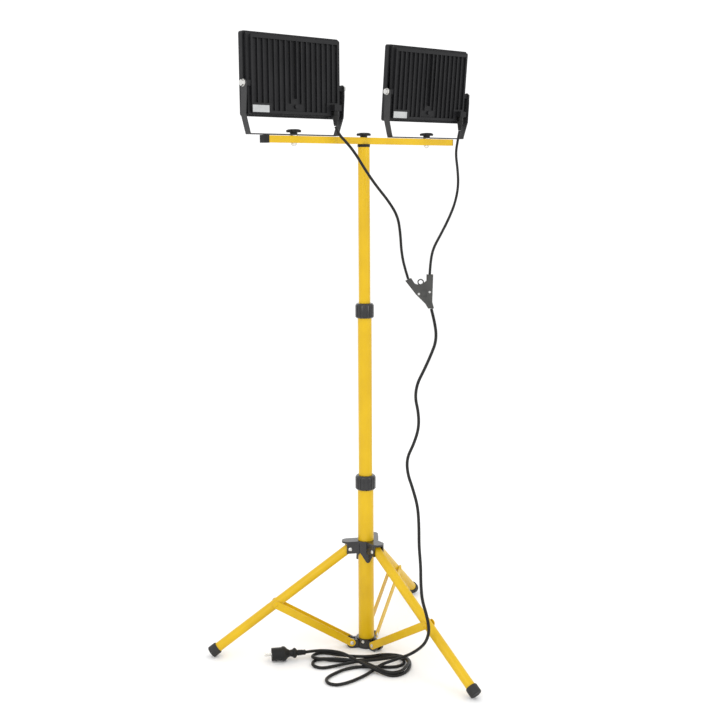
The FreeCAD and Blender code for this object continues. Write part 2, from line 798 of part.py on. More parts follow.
def housing():
    """Die-cast tray with a plateau on its back. The fins stand in a recess of the plateau."""
    wide = size["shell_half_width"]
    tall = size["shell_half_height"]
    wall = size["shell_wall"]
    floor_back = size["shell_floor"]
    rim = size["bezel_back"]
    plateau_side = wide - size["step_inset"]
    plateau_half = tall - size["step_drop"]
    plateau = floor_back - size["step_depth"]
    valley = plateau + size["fin_recess"]
    side = plateau_side - size["frame_side"]
    low = lamp_middle - plateau_half + size["frame_bottom"]
    high = lamp_middle + plateau_half - size["frame_top"]
    tray = rounded_slab(wide, tall, floor_back, rim, 5)
    back = rounded_slab(plateau_side, plateau_half, plateau, floor_back, 5)
    recess = box(-side, side, plateau - 1, valley, low, high)
    fins = []
    count = int(float(size["fin_count"]))
    half = size["fin_thickness"] / 2
    cut_short = {0: 30, 1: 18}
    for n in range(count):
        place = n - count // 2
        tip = valley - size["fin_depth"]
        # the middle fin is the tallest, and the middle three end above a vent
        if place == 0:
            tip = tip - size["rib_extra"]
        bottom = low + cut_short.get(abs(place), 0)
        x = place * size["fin_pitch"]
        fins.append(box(x - half, x + half, tip, valley, bottom, high))
    boss_side = size["gland_side"]
    boss_back = size["gland_back"]
    boss_low = size["gland_top"]
    # flat patches under the label and round the gland's boss, at the recess's lower corners
    patch_side = size["label_width"] + 6 - side
    label_patch = box(-side, patch_side, plateau, valley, low, low + size["label_height"] + 1)
    gland_patch = box(boss_side - 22, side, plateau, valley, low, low + 24)
    vent = cylinder(4.5, size["fin_depth"], 0, valley - size["fin_depth"], low + 12, Vector(0, 1, 0))
    boss = box(boss_side - 11, boss_side + 11, boss_back - 10, valley, boss_low, boss_low + 14)
    lug_end = size["bracket_side"] - 0.3
    lug_start = -size["pivot_back"] - size["lug_back"]
    lug_half = size["lug_half_height"]
    lugs = [
        box(*pair, lug_start, rim - 0.2, -lug_half, lug_half)
        for pair in ((plateau_side, lug_end), (-lug_end, -plateau_side))
    ]
    body = fuse(cut(fuse(tray, back), recess), *fins, label_patch, gland_patch, vent, boss, *lugs)
    cavity = slab(wide - wall, tall - wall, floor_back + size["tray_floor"], rim + 1)
    # the gland hangs from its boss in a notch of the plateau
    notch = cylinder(size["gland_radius"] + 1, 20, boss_side, boss_back, boss_low - 20)
    bore = size["gland_bore"]
    wire_way = cylinder(bore, 10, boss_side, boss_back, boss_low - 1)
    wire_exit = cylinder(bore, 18, boss_side, boss_back, boss_low + 9, Vector(0, 1, 0))
    bolt_holes = [
        cylinder(size["bolt_radius"] - 1, 14, x, -size["pivot_back"], 0, Vector(1, 0, 0))
        for x in (wide - 4, -wide - 10)
    ]
    return cut(body, cavity, notch, wire_way, wire_exit, *bolt_holes)


def bezel():
    back = size["bezel_back"]
    front = back + size["bezel_depth"]
    lip = size["bezel_lip"]
    outer = rounded_slab(size["bezel_half_width"], size["bezel_half_height"], back, front, 6)
    recess = slab(
        size["shell_half_width"], size["shell_half_height"], back - 1,
        back + size["seal_thickness"] + size["glass_thickness"],
    )
    window = slab(size["bezel_half_width"] - lip, size["bezel_half_height"] - lip, back, front + 1)
    return cut(outer, recess, window)


def glass():
    start = size["bezel_back"] + size["seal_thickness"]
    return slab(size["shell_half_width"] - 0.5, size["shell_half_height"] - 0.5, start,
                start + size["glass_thickness"])


def seal():
    back = size["bezel_back"]
    wide = size["shell_half_width"] - 1
    tall = size["shell_half_height"] - 1
    wall = size["shell_wall"] - 1
    ring = slab(wide, tall, back, back + size["seal_thickness"])
    return cut(ring, slab(wide - wall, tall - wall, back - 1, back + 10))


def board():
    """LED board on the housing's floor."""
    start = size["shell_floor"] + size["tray_floor"]
    wall = size["shell_wall"] + 8
    return slab(
        size["shell_half_width"] - wall, size["shell_half_height"] - wall,
        start, start + size["board_thickness"],
    )


def driver():
    """Power supply, a thin module on the lower edge of the LED board."""
    low = lamp_middle - size["shell_half_height"] + size["shell_wall"] + 9
    back = size["shell_floor"] + size["tray_floor"] + size["board_thickness"]
    return box(-58, 58, back, back + 4.4, low, low + 22)


def gland():
    """Cable gland under its boss: a straight cap, then a tapering strain relief."""
    x = float(size["gland_side"])
    y = float(size["gland_back"])
    top = float(size["gland_top"])
    tall = float(size["gland_height"])
    wide = float(size["gland_radius"])
    straight = tall * 0.55
    cap = Part.makeCylinder(wide, straight, Vector(x, y, top - straight))
    relief = Part.makeCone(float(size["lead_radius"]) + 1, wide - 1, tall - straight, Vector(x, y, top - tall))
    bore = Part.makeCylinder(float(size["gland_bore"]), 12, Vector(x, y, top - 11))
    return solid(cap.fuse(relief).cut(bore).removeSplitter(), "gland")


def label_plate():
    """Blank sticker on the flat corner of the plateau."""
    margin = size["label_margin"]
    side = size["step_inset"] + margin - size["shell_half_width"]
    low = lamp_middle - size["shell_half_height"] + size["step_drop"] + margin
    back = size["shell_floor"] - size["step_depth"]
    return box(side, side + size["label_width"], back - 0.4, back, low, low + size["label_height"])


def pivot_bolts():
    """A hexagon bolt and its washer through each arm into the housing."""
    side = size["bracket_side"] + size["bracket_thickness"]
    shank = size["bolt_radius"] - 1
    inner = size["shell_half_width"] - 4
    back = -size["pivot_back"]
    pieces = []
    for way in (1, -1):
        head_base = side + 1.6 if way > 0 else -side - 7.1
        washer_base = side if way > 0 else -side - 1.6
        shank_base = inner if way > 0 else -side - 1.6
        reach = side + 1.6 - inner
        head = hexagon(size["nut_radius"], 5.5, head_base, back, 0, axis=Vector(1, 0, 0))
        washer = cylinder(8.5, 1.6, washer_base, back, 0, Vector(1, 0, 0))
        body = cylinder(shank, reach, shank_base, back, 0, Vector(1, 0, 0))
        pieces.append(fuse(head, washer, body))
    return group(*pieces)


def bracket():
    """U-shaped steel strip: foot, slanted corners, and arms that widen towards the pivots."""
    foot = float(size["bracket_foot"])
    side = float(size["bracket_side"])
    thick = float(size["bracket_thickness"])
    base = -float(size["tilt_height"])
    knee = base + float(size["bracket_knee"])
    wide = float(size["bracket_width"])
    narrow = float(size["bracket_foot_width"])
    top = float(size["bracket_top"])
    right = [
        (foot + thick, base), (side + thick, knee), (side + thick, top), (side, top),
        (side, knee + 0.6), (foot, base + thick),
    ]
    left = [(-x, z) for x, z in reversed(right)]
    strip = prism(right + left, -wide, 2 * wide, "y")
    # the strip's outline from the side: narrow foot, wide arms, bevelled over the pivot
    middle = -float(size["pivot_back"])
    bevel = 5
    across = 2 * side + 20
    shape = prism(
        [(-narrow / 2, base), (narrow / 2, base), (narrow / 2, base + 8),
         (middle + wide / 2, -20), (middle + wide / 2, top - bevel), (middle + wide / 2 - bevel, top),
         (middle - wide / 2 + bevel, top), (middle - wide / 2, top - bevel), (middle - wide / 2, -20),
         (-narrow / 2, base + 8)],
        -side - 10, across, "x",
    )
    start = Vector(-side - 10, middle, 0)
    shape = strip.common(shape)
    hole = float(size["bolt_radius"]) - 1 + float(size["running_gap"])
    shape = shape.cut(Part.makeCylinder(hole, across, start, Vector(1, 0, 0)))
    bolt = float(size["bolt_radius"]) + float(size["running_gap"])
    shape = shape.cut(Part.makeCylinder(bolt, 10, Vector(0, 0, base - 1)))
    for x in (-70, 70):
        slot = Part.makeBox(30, 6, 10, Vector(x - 15, -3, base - 1))
        shape = shape.cut(slot)
    return solid(shape.removeSplitter(), "bracket")


LAMP_PIECES = {
    "housing": housing,
    "bezel": bezel,
    "glass": glass,
    "seal": seal,
    "led_board": board,
    "driver": driver,
    "gland": gland,
    "label": label_plate,
    "pivot_bolts": pivot_bolts,
}


def lamp(side):
    """One floodlight on its bracket. The lamp's own pieces share its tilt at rest."""
    tilt = float(size["right_lamp_tilt"]) if side == "right" else 0.0
    pivot = Vector(0, -float(size["pivot_back"]), 0)
    centre = Vector(float(BOLT_PLACES[side]), 0, float(pivot_up))
    lean = Placement(centre, Rotation(Vector(1, 0, 0), tilt), pivot)
    for name, make in LAMP_PIECES.items():
        node(f"{side}_{name}", make(), lean)
    node(f"{side}_bracket", bracket(), Placement(centre, Rotation()))


for side in BOLT_PLACES:
    lamp(side)

# ---------------------------------------------------------------- cords


def cord(points, radius):
    """A tube of straight runs and tangent arcs, its length, and its arcs' radii."""
    at = [Vector(*p) for p in points]
    edges = []
    radii = []
    start = at[0]
    for before, corner, after in zip(at, at[1:], at[2:]):
        a = (before - corner).normalize()
        b = (after - corner).normalize()
        half_turn = (math.pi - a.getAngle(b)) / 2
        trim = 0.45 * min((before - corner).Length, (after - corner).Length)
        bend = trim / math.tan(half_turn)
        radii.append(bend)
        enter = corner + a * trim
        leave = corner + b * trim
        inward = (a + b).normalize()
        middle = corner + inward * (math.hypot(trim, bend) - bend)
        edges.append(Part.LineSegment(start, enter).toShape())
        edges.append(Part.Arc(enter, middle, leave).toShape())
        start = leave
    edges.append(Part.LineSegment(start, at[-1]).toShape())
    wire = Part.Wire(edges)
    circle = Part.makeCircle(radius, at[0], at[1] - at[0])
    shape = wire.makePipeShell([Part.Wire([circle])], True, False)
    if abs(shape.Volume / (math.pi * radius**2 * wire.Length) - 1) > 0.01:
        raise ValueError("a cord's volume doesn't match its length")
    return shape, wire.Length, radii


# routes, from each exit to its end, in millimetres
LEFT_LEAD = [(-111.5, -20, 1378.4), (-106, -24, 1360), (-89, -34, 1341), (-70, -47, 1312),
             (-49, -57, 1275), (-20, -66, 1235), (12, -77, 1197), (39, -83, 1158), (54, -77, 1113),
             (66, -68, 1071), (82, -61, 1032), (96.5, -62.5, 995)]
RIGHT_LEAD = [(343.5, -12, 1377.4), (336, -13, 1354), (322, -18, 1317), (319, -29, 1273),
              (308, -42, 1230), (285, -52, 1186), (250, -61, 1144), (209, -71, 1105), (172, -80, 1072),
              (150, -91, 1040), (138.5, -99.5, 1007)]
MAINS = [(141, -103, 916.6), (148, -112, 874), (145, -118, 833), (129, -114, 797), (110, -108, 759),
         (91, -101, 724), (82, -103, 688), (81, -116, 653), (75, -124, 613), (58, -122, 572),
         (38, -117, 538), (32, -125, 500), (32, -145, 462), (27, -168, 420), (15, -184, 373),
         (1, -198, 327), (-12, -217, 284), (-29, -234, 248), (-47, -256, 214), (-55, -281, 182),
         (-55, -290, 145), (-52, -274, 108), (-45, -237, 74), (-41, -196, 45), (-48, -158, 24),
         (-76, -137, 13)]
TAIL = [(-99, -22, 12.4), (-105, 7, 12.4), (-119, 33, 12.4), (-146, 44, 15), (-178, 44, 19.6)]
# outline of the coiled part on the floor
HANK = [(-160, 44), (-188, 24), (-191, -10), (-186, -28), (-166, -52), (-152, -76), (-177, -76), (-211, -84),
        (-234, -96), (-243, -112), (-229, -134), (-183, -144), (-136, -146), (-100, -150), (-93, -180),
        (-78, -199), (-56, -204), (-32, -200), (-6, -186), (11, -166), (21, -142), (14, -114), (2, -89),
        (-22, -75), (-48, -66), (-84, -48), (-91, -18), (-97, 10), (-110, 37), (-130, 57)]


SPLITTER_THICKNESS = 17.0
SPLITTER_SCREWS = ((-34, 41), (-6, 46))
SPLITTER_PLACE = Placement(Vector(142, -104, 915), Rotation(UP, -42.8))
# the plug's two pins stand one above the other
PLUG_ROLL = 90


def splitter():
    """Flat Y-shaped junction, with an eye to hang it by."""
    thick = SPLITTER_THICKNESS
    across = Vector(0, 1, 0)
    outline = [(-10, 3), (-17, 15), (-42, 40), (-69, 75), (-54, 82), (-44, 67), (-34, 64), (-21, 69),
               (-14, 75), (-14, 91), (3, 91), (2, 54), (1, 20), (5.5, 3)]
    body = prism(outline, -thick / 2, thick, "y")
    rims = [e for e in body.Edges if abs(e.tangentAt(e.FirstParameter).y) < 0.1]
    body = body.makeChamfer(2.0, rims)
    front = -thick / 2
    screws = []
    for x, z in SPLITTER_SCREWS:
        body = body.cut(Part.makeCylinder(2, 3, Vector(x, front, z), across))
        body = body.cut(Part.makeCylinder(3.4, 2, Vector(x, front, z), across))
        head = Part.makeCylinder(3.2, 1.2, Vector(x, front + 0.8, z), across)
        shank = Part.makeCylinder(2, 1, Vector(x, front + 2, z), across)
        screws.append(solid(head.fuse(shank).removeSplitter(), "screw"))
    body = body.cut(Part.makeBox(14, 1.2, 18, Vector(-28, front, 34)))
    eye = Part.makeTorus(7, 1.6, Vector(-29, 2, 71), across)
    node("splitter", solid(body.fuse(eye).removeSplitter(), "splitter"), SPLITTER_PLACE)
    node("splitter_screws", group(*screws), SPLITTER_PLACE)


def hank():
    """Coiled cable on the floor, as one solid of its outer shape."""
    height = float(size["hank_height"])
    shape = prism(HANK, 0.2, height, "z")
    node("cord_hank", solid(shape, "hank"))


def plug():
    """Round two-pin plug lying on its rim, with a ribbed strain relief."""
    outline = [(0, 0), (5.8, 0), (7, 22), (9, 24), (13, 27), (13, 31.5), (10, 35), (8.5, 42), (12, 48),
               (18, 54), (19.4, 57), (19.4, 61), (17.4, 64), (17.2, 90), (0, 90)]
    face = Part.Face(Part.makePolygon([Vector(a, 0, b) for a, b in outline + outline[:1]]))
    body = face.revolve(Vector(0, 0, 0), UP, 360)
    pins = []
    for x in (-9.5, 9.5):
        body = body.cut(Part.makeCylinder(2.4, 8, Vector(x, 0, 82)))
        pin = Part.makeCylinder(2.4, 24, Vector(x, 0, 82))
        pin = pin.fuse(Part.makeSphere(2.4, Vector(x, 0, 106)))
        pins.append(solid(pin.removeSplitter(), "pin"))
    for y in (-18.2, 15.2):
        body = body.cut(Part.makeBox(8, 3, 30, Vector(-4, y, 68)))
    for y in (-16.4, 15.4):
        pins.append(solid(Part.makeBox(6, 1, 20, Vector(-3, y, 70)), "earth_strip"))
    way = Vector(-73, 48, 0).normalize()
    turn = Rotation(UP, way) * Rotation(UP, PLUG_ROLL)
    place = Placement(Vector(-178, 44, 19.6), turn)
    node("plug_body", solid(body.removeSplitter(), "plug"), place)
    node("plug_pins", group(*pins), place)


for label, routes, radius in (
    ("left_lead", [LEFT_LEAD], float(size["lead_radius"])),
    ("right_lead", [RIGHT_LEAD], float(size["lead_radius"])),
    ("mains_cable", [MAINS, TAIL], float(size["cable_radius"])),
):
    tubes = []
    for route in routes:
        shape, length, radii = cord(route, radius)
        listed = [round(r) for r in radii]
        print(label, "length", round(length), "least radius", min(listed), listed)
        tubes.append(solid(shape, "tube"))
    node(label, group(*tubes))

splitter()
hank()
plug()

# ---------------------------------------------------------------- checks and export

doc.recompute()
failed = [obj.Label for obj in doc.Objects if {"Invalid", "Error"} & set(obj.State)]
if failed:
    raise RuntimeError(f"not made: {failed}")
for obj in NODES:
    if obj.Shape.isNull() or not obj.Shape.isValid() or not obj.Shape.Solids:
        raise RuntimeError(f"{obj.Label} is not a valid solid")
os.makedirs("parts", exist_ok=True)
for obj in NODES:
    obj.Shape.exportStep(f"parts/{obj.Label}.step")
print(len(NODES), "nodes")
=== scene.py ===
import json
import math

import bmesh
import bpy
from mathutils import Matrix, Vector

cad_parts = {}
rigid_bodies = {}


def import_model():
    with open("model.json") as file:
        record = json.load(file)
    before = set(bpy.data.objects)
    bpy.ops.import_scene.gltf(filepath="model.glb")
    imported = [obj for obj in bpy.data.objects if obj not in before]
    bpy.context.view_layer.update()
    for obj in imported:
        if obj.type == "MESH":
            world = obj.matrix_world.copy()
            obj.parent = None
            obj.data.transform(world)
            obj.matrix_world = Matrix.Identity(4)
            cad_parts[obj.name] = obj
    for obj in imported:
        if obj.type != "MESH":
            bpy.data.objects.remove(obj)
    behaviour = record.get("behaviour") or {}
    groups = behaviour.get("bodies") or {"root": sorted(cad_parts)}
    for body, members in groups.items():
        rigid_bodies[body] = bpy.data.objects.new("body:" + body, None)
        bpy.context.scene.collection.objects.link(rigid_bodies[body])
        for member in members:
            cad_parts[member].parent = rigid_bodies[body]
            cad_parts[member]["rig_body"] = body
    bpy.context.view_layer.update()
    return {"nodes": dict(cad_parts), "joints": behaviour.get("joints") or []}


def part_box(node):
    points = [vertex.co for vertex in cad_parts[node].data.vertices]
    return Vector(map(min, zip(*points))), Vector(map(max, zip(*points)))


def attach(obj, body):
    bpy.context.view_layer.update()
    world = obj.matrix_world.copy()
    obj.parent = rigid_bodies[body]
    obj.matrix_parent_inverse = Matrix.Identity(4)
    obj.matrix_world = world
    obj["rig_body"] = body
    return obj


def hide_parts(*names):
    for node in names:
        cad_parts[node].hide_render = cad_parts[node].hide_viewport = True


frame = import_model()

scene = bpy.context.scene
NODES = frame["nodes"]
LAMPS = ("left", "right")
LEGS = ("rear", "left", "right")
PIVOTS = {joint["name"]: joint["pos_m"] for joint in frame["joints"] if "pos_m" in joint}
RIGHT_TILT = math.radians(5)
MM = 0.001

# ------------------------------------------------------------ materials


def socket(node, name, value):
    node.inputs[name].default_value = value


def new_material(name, roughness, metallic=0.0, **shader):
    """A material, its node tree, its shader and the object's own coordinates."""
    material = bpy.data.materials.new(name)
    material.use_nodes = True
    tree = material.node_tree
    surface = tree.nodes["Principled BSDF"]
    socket(surface, "Roughness", roughness)
    socket(surface, "Metallic", metallic)
    for key, value in shader.items():
        socket(surface, key.replace("_", " "), value)
    place = tree.nodes.new("ShaderNodeTexCoord")
    return material, tree, surface, place.outputs["Object"]


def noise(tree, place, scale, detail=3.0, stretch=None):
    """Fractal noise over the object, stretched along an axis where asked."""
    if stretch:
        mapping = tree.nodes.new("ShaderNodeMapping")
        socket(mapping, "Scale", stretch)
        tree.links.new(place, mapping.inputs["Vector"])
        place = mapping.outputs["Vector"]
    texture = tree.nodes.new("ShaderNodeTexNoise")
    socket(texture, "Scale", scale)
    socket(texture, "Detail", detail)
    tree.links.new(place, texture.inputs["Vector"])
    return texture.outputs["Fac"]


def mix(tree, share, one, other):
    """Colour between one and other."""
    node = tree.nodes.new("ShaderNodeMix")
    node.data_type = "RGBA"
    tree.links.new(share, node.inputs["Factor"])
    for key, value in (("A", one), ("B", other)):
        target = next(s for s in node.inputs if s.name == key and s.type == "RGBA")
        if isinstance(value, tuple):
            target.default_value = (*value, 1.0)
        else:
            tree.links.new(value, target)
    return next(s for s in node.outputs if s.type == "RGBA")


def spread(tree, value, low, high, new_low=0.0, new_high=1.0):
    """Takes low..high of a value to a new range."""
    node = tree.nodes.new("ShaderNodeMapRange")
    for key, number in (
        ("From Min", low), ("From Max", high), ("To Min", new_low), ("To Max", new_high)
    ):
        socket(node, key, number)
    tree.links.new(value, node.inputs["Value"])
    return node.outputs["Result"]


def bump(tree, surface, height, strength, distance):
    """Adds relief, over any that the surface already has."""
    node = tree.nodes.new("ShaderNodeBump")
    socket(node, "Strength", strength)
    socket(node, "Distance", distance)
    tree.links.new(height, node.inputs["Height"])
    normal = surface.inputs["Normal"]
    if normal.is_linked:
        tree.links.new(normal.links[0].from_socket, node.inputs["Normal"])
    tree.links.new(node.outputs["Normal"], normal)


def powder_coat(name, colour, shade, dust_colour, roughness, peel, grain, **shader):
    """Paint with orange peel, a slow change of shade and scattered dust."""
    material, tree, surface, place = new_material(name, roughness, **shader)
    slow = spread(tree, noise(tree, place, 9, 4), 0.35, 0.65)
    base = mix(tree, slow, shade, colour)
    dust = spread(tree, noise(tree, place, 420, 2), 0.70, 0.78, 0.0, 0.25)
    tree.links.new(mix(tree, dust, base, dust_colour), surface.inputs["Base Color"])
    uneven = spread(tree, noise(tree, place, 35, 5), 0.3, 0.7, roughness - 0.06, roughness + 0.08)
    tree.links.new(uneven, surface.inputs["Roughness"])
    bump(tree, surface, noise(tree, place, 260, 2), peel, 0.0004)
    bump(tree, surface, noise(tree, place, 1500, 2), grain, 0.0002)
    return material


def moulded(name, colour, shade, roughness, grain, **shader):
    """Moulded plastic or rubber: fine texture, a slight change of shade and gloss."""
    material, tree, surface, place = new_material(name, roughness, **shader)
    slow = spread(tree, noise(tree, place, 28, 5), 0.35, 0.65)
    tree.links.new(mix(tree, slow, shade, colour), surface.inputs["Base Color"])
    uneven = spread(tree, noise(tree, place, 55, 4), 0.3, 0.7, roughness - 0.07, roughness + 0.09)
    tree.links.new(uneven, surface.inputs["Roughness"])
    bump(tree, surface, noise(tree, place, 900, 3), grain, 0.0003)
    return material


def metal(name, colour, shade, roughness, stretch):
    """Plated metal with drawn streaks."""
    material, tree, surface, place = new_material(name, roughness, 1.0)
    streak = noise(tree, place, 260, 4, stretch)
    tree.links.new(mix(tree, spread(tree, streak, 0.3, 0.7), shade, colour), surface.inputs["Base Color"])
    uneven = spread(tree, streak, 0.3, 0.7, roughness - 0.08, roughness + 0.1)
    tree.links.new(uneven, surface.inputs["Roughness"])
    bump(tree, surface, streak, 0.12, 0.0002)
    return material


def glass_material():
    """Clear front glass with a faint green body and slight smears."""
    material, tree, surface, place = new_material("front_glass", 0.02, Transmission_Weight=1.0, IOR=1.5)
    socket(surface, "Alpha", 0.35)
    smear = spread(tree, noise(tree, place, 14, 4), 0.5, 0.75, 0.01, 0.07)
    tree.links.new(smear, surface.inputs["Roughness"])
    slow = spread(tree, noise(tree, place, 5, 2), 0.3, 0.7)
    tree.links.new(mix(tree, slow, (0.93, 0.97, 0.95), (0.97, 0.99, 0.98)), surface.inputs["Base Color"])
    return material


YELLOW = powder_coat(
    "yellow_powder_coat", (0.70, 0.445, 0.003), (0.62, 0.38, 0.002), (0.78, 0.60, 0.14),
    0.36, 0.22, 0.06, Specular_IOR_Level=0.3, Coat_Weight=0.12, Coat_Roughness=0.16,
)
LAMP_BLACK = powder_coat(
    "lamp_black", (0.0085, 0.0085, 0.0098), (0.0058, 0.0058, 0.0068), (0.03, 0.03, 0.032),
    0.52, 0.3, 0.25, Specular_IOR_Level=0.3,
)
BRACKET_BLACK = powder_coat(
    "bracket_black", (0.030, 0.030, 0.031), (0.022, 0.022, 0.023), (0.06, 0.06, 0.06),
    0.46, 0.25, 0.2, Specular_IOR_Level=0.4,
)
GLOSS_BLACK = moulded(
    "gloss_black_plastic", (0.009, 0.009, 0.010), (0.005, 0.005, 0.006), 0.24, 0.05,
    Coat_Weight=0.3, Coat_Roughness=0.15,
)
SATIN_BLACK = moulded(
    "satin_black_plastic", (0.009, 0.009, 0.0085), (0.005, 0.005, 0.005), 0.42, 0.2,
    Specular_IOR_Level=0.28,
)
GREY_BLACK = moulded("junction_plastic", (0.052, 0.052, 0.048), (0.036, 0.036, 0.034), 0.5, 0.3)
RUBBER = moulded("foot_rubber", (0.02, 0.02, 0.02), (0.012, 0.012, 0.012), 0.62, 0.45)
SHEATH = moulded(
    "cable_sheath", (0.008, 0.008, 0.0075), (0.005, 0.005, 0.005), 0.40, 0.14, Specular_IOR_Level=0.28,
)
SEAL = moulded("seal_rubber", (0.05, 0.05, 0.05), (0.03, 0.03, 0.03), 0.7, 0.4)
ZINC = metal("zinc_plate", (0.78, 0.77, 0.74), (0.55, 0.55, 0.54), 0.3, (1.0, 1.0, 0.15))
NICKEL = metal("nickel_plate", (0.84, 0.82, 0.77), (0.66, 0.64, 0.60), 0.2, (0.2, 1.0, 1.0))
LABEL = moulded("label_film", (0.52, 0.53, 0.53), (0.42, 0.43, 0.43), 0.42, 0.05)
BOARD = moulded("board_white", (0.80, 0.80, 0.78), (0.72, 0.72, 0.70), 0.35, 0.05)
DRIVER = moulded("driver_case", (0.60, 0.60, 0.58), (0.50, 0.50, 0.48), 0.5, 0.2)
PHOSPHOR = moulded("led_phosphor", (0.85, 0.66, 0.10), (0.78, 0.58, 0.07), 0.45, 0.1)
GLASS = glass_material()

# ------------------------------------------------------------ pieces


def new_piece(name, mesh, material, body):
    obj = bpy.data.objects.new(name, mesh)
    scene.collection.objects.link(obj)
    mesh.materials.clear()
    mesh.materials.append(material)
    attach(obj, body)
    return obj


def smooth(mesh, angle=32):
    """Smooth shading that keeps edges sharper than angle."""
    for polygon in mesh.polygons:
        polygon.use_smooth = True
    mesh.set_sharp_from_angle(angle=math.radians(angle))


def soften(obj, width, segments):
    """Rounds an object's edges that are sharper than the angle limit."""
    bevel = obj.modifiers.new("rounding", "BEVEL")
    bevel.width = width
    bevel.segments = segments
    bevel.limit_method = "ANGLE"
    bevel.angle_limit = math.radians(28)
    bevel.harden_normals = True
    bevel.use_clamp_overlap = True


def welded(node):
    """A copy of a node's mesh with its split corners joined and its flat faces merged."""
    mesh = NODES[node].data.copy()
    bm = bmesh.new()
    bm.from_mesh(mesh)
    bmesh.ops.remove_doubles(bm, verts=bm.verts, dist=0.00002)
    bmesh.ops.dissolve_limit(bm, angle_limit=math.radians(0.6), verts=bm.verts, edges=bm.edges)
    bm.to_mesh(mesh)
    bm.free()
    return mesh


def refined(node, material, width, segments=2):
    """Takes a CAD node's shape and rounds its edges by width, in its own finish."""
    mesh = welded(node)
    mesh.name = f"{node}_shape"
    obj = new_piece(f"{node}_finished", mesh, material, NODES[node]["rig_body"])
    smooth(mesh)
    if width:
        soften(obj, width, segments)
    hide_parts(node)
    return obj


for name in ("lower_tube", "middle_tube", "upper_tube"):
    refined(name, YELLOW, 0.4 * MM)
refined("crossbar", YELLOW, 1.2 * MM, 3)
for side in LEGS:
    refined(f"{side}_leg", YELLOW, 0.3 * MM)
    refined(f"{side}_brace", YELLOW, 0.4 * MM)
    refined(f"{side}_foot", RUBBER, 0.8 * MM, 3)
for name in ("lower_collet", "upper_collet", "mast_cap"):
    refined(name, SATIN_BLACK, 0.4 * MM)
for name in ("lower_collar", "upper_collar"):
    refined(name, GLOSS_BLACK, 0.5 * MM, 3)
for name in ("upper_hub", "lower_hub"):
    refined(name, GLOSS_BLACK, 0.9 * MM, 3)
for name in ("hub_knob", "centre_knob", "left_knob", "right_knob"):
    refined(name, SATIN_BLACK, 0.9 * MM, 3)
for name in ("bar_cap_left", "bar_plug_right"):
    refined(name, SATIN_BLACK, 0.7 * MM, 3)
for name in ("lower_hub_screw", "lower_hub_rivets", "upper_hub_rivets", "bar_bolts", "bar_nuts"):
    refined(name, ZINC, 0.25 * MM)
# the pieces that lie on the cords
for name, material, width, slot in (
    ("splitter", GREY_BLACK, 0.6 * MM, "rubber"),
    ("splitter_screws", ZINC, 0.2 * MM, "zinc_steel"),
    ("plug_body", SATIN_BLACK, 0.6 * MM, "rubber"),
    ("plug_pins", NICKEL, 0.2 * MM, "nickel"),
):
    refined(name, material, width)
for side in LAMPS:
    refined(f"{side}_housing", LAMP_BLACK, 0.5 * MM)
    refined(f"{side}_bezel", LAMP_BLACK, 0.8 * MM)
    refined(f"{side}_bracket", BRACKET_BLACK, 0.5 * MM)
    refined(f"{side}_glass", GLASS, 0.3 * MM)
    refined(f"{side}_seal", SEAL, 0.0)
    refined(f"{side}_led_board", BOARD, 0.0)
    refined(f"{side}_driver", DRIVER, 0.5 * MM)
    refined(f"{side}_label", LABEL, 0.0)
    refined(f"{side}_pivot_bolts", ZINC, 0.3 * MM)


# the pieces below are worked out in the left lamp's place, and moved to the right one for that lamp


def lamp_lean(side):
    """From the left lamp's place to that lamp's place."""
    if side == "left":
        return Matrix()
    left = Vector(PIVOTS["left_lamp_tilt"])
    right = Vector(PIVOTS["right_lamp_tilt"])
    return Matrix.Translation(right) @ Matrix.Rotation(RIGHT_TILT, 4, "X") @ Matrix.Translation(-left)


def quads_around(bm, rings):
    """Joins rings of vertices, each to the next."""
    for lower, upper in zip(rings, rings[1:]):
        count = len(lower)
        for n in range(count):
            bm.faces.new((lower[n], lower[(n + 1) % count], upper[(n + 1) % count], upper[n]))


def lathe(name, outline, place, material, body, segments, facets=()):
    """A turned piece. outline is (radius, distance) in millimetres, along place's own Z.

    Rings whose numbers are in facets are six-sided, as on a nut.
    """
    bm = bmesh.new()
    rings = []
    for number, (radius, distance) in enumerate(outline):
        ring = []
        for n in range(segments):
            angle = 2 * math.pi * n / segments
            reach = radius
            if number in facets:
                off_flat = (angle + math.pi / 6) % (math.pi / 3) - math.pi / 6
                reach = min(radius, radius * math.cos(math.pi / 6) * 1.02 / math.cos(off_flat))
            spot = Vector((reach * math.cos(angle), reach * math.sin(angle), distance)) * MM
            ring.append(bm.verts.new(place @ spot))
        rings.append(ring)
    quads_around(bm, rings)
    bm.faces.new(reversed(rings[0]))
    bm.faces.new(rings[-1])
    bmesh.ops.recalc_face_normals(bm, faces=bm.faces)
    mesh = bpy.data.meshes.new(name)
    bm.to_mesh(mesh)
    bm.free()
    smooth(mesh, 40)
    obj = new_piece(name, mesh, material, body)
    return obj


